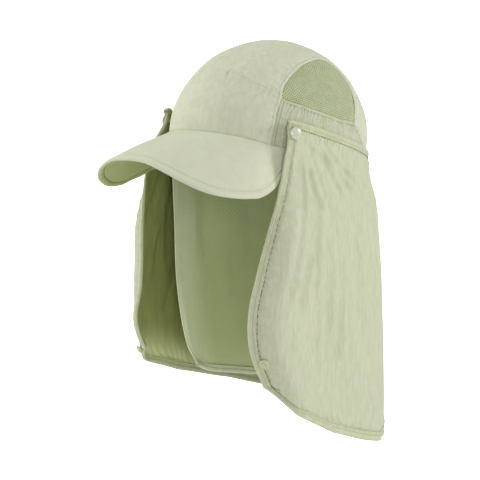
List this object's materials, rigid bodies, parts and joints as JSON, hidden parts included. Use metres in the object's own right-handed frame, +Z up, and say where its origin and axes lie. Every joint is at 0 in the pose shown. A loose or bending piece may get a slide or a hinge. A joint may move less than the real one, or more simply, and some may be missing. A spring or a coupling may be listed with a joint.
{
  "type": "legionnaire cap",
  "caption": "Sun cap with an arched peak, mesh side vents, a long bound neck flap held by temple snaps and an inner mesh neck curtain.",
  "frame": {"origin": "middle of the head opening, level with the widest part of the crown", "axes": "+Z up, -Y towards the peak, +X towards the wearer's left"},
  "size_m": [0.2068, 0.2811, 0.3778],
  "materials": {
    "crown_cloth": "matt crinkled nylon, pale sage",
    "bill_cloth": "matt smooth woven nylon, pale sage",
    "flap_cloth": "matt crinkled nylon, pale sage outside and olive inside",
    "vent_mesh": "fine eyelet knit, sage green",
    "binding_tape": "folded grosgrain tape, sage",
    "curtain_mesh": "fine ribbed knit mesh, grey green",
    "hem_cloth": "folded woven hem, pale sage",
    "temple_snap": "glossy, pearly sage",
    "lower_snap": "matt sage"
  },
  "bodies": {
    "root": {"crown_panel": "crown_cloth", "vent_left": "vent_mesh", "vent_right": "vent_mesh", "band_left": "crown_cloth", "band_right": "crown_cloth", "bill": "bill_cloth", "neck_flap": "flap_cloth", "flap_edge_tape": "binding_tape", "flap_top_tape": "binding_tape", "neck_curtain": "curtain_mesh", "curtain_hem": "hem_cloth", "temple_snap_left": "temple_snap", "temple_snap_right": "temple_snap", "lower_snap_left": "lower_snap", "lower_snap_right": "lower_snap"}
  },
  "joints": []
}
